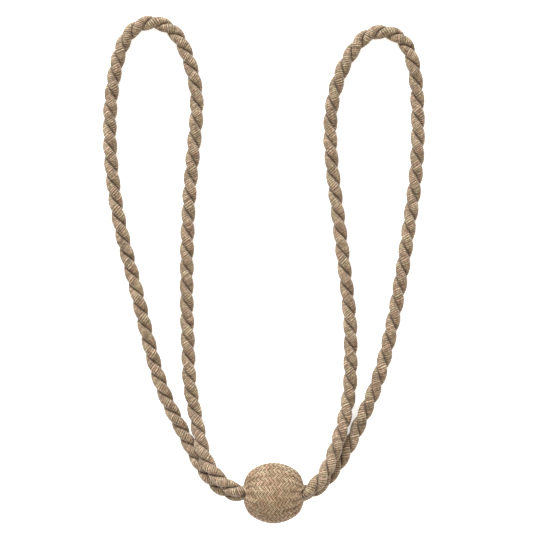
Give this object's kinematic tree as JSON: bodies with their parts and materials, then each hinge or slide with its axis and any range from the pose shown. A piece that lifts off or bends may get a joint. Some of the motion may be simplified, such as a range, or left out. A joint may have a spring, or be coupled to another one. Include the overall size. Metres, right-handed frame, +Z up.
{
  "type": "curtain tieback",
  "caption": "Curtain tieback: a braid-covered ball with a twisted rope loop on each side, laid flat. The loops go over a wall hook and the rope wraps a gathered curtain.",
  "frame": {"origin": "middle of the ball's flat spot, on the surface that the tieback lies on", "axes": "+Z up from that surface, +Y from the ball towards the loops' far bends, X along the bore through the ball"},
  "size_m": [0.2677, 0.4194, 0.0494],
  "materials": {
    "ball_cover": "herringbone braid of twisted beige yarn, matte with a slight lustre",
    "rope": "beige gimp cord, fine thread wound round each strand, matte with a slight lustre"
  },
  "bodies": {
    "root": {"ball": "ball_cover", "rope_loop_left": "rope", "rope_loop_right": "rope"}
  },
  "joints": []
}
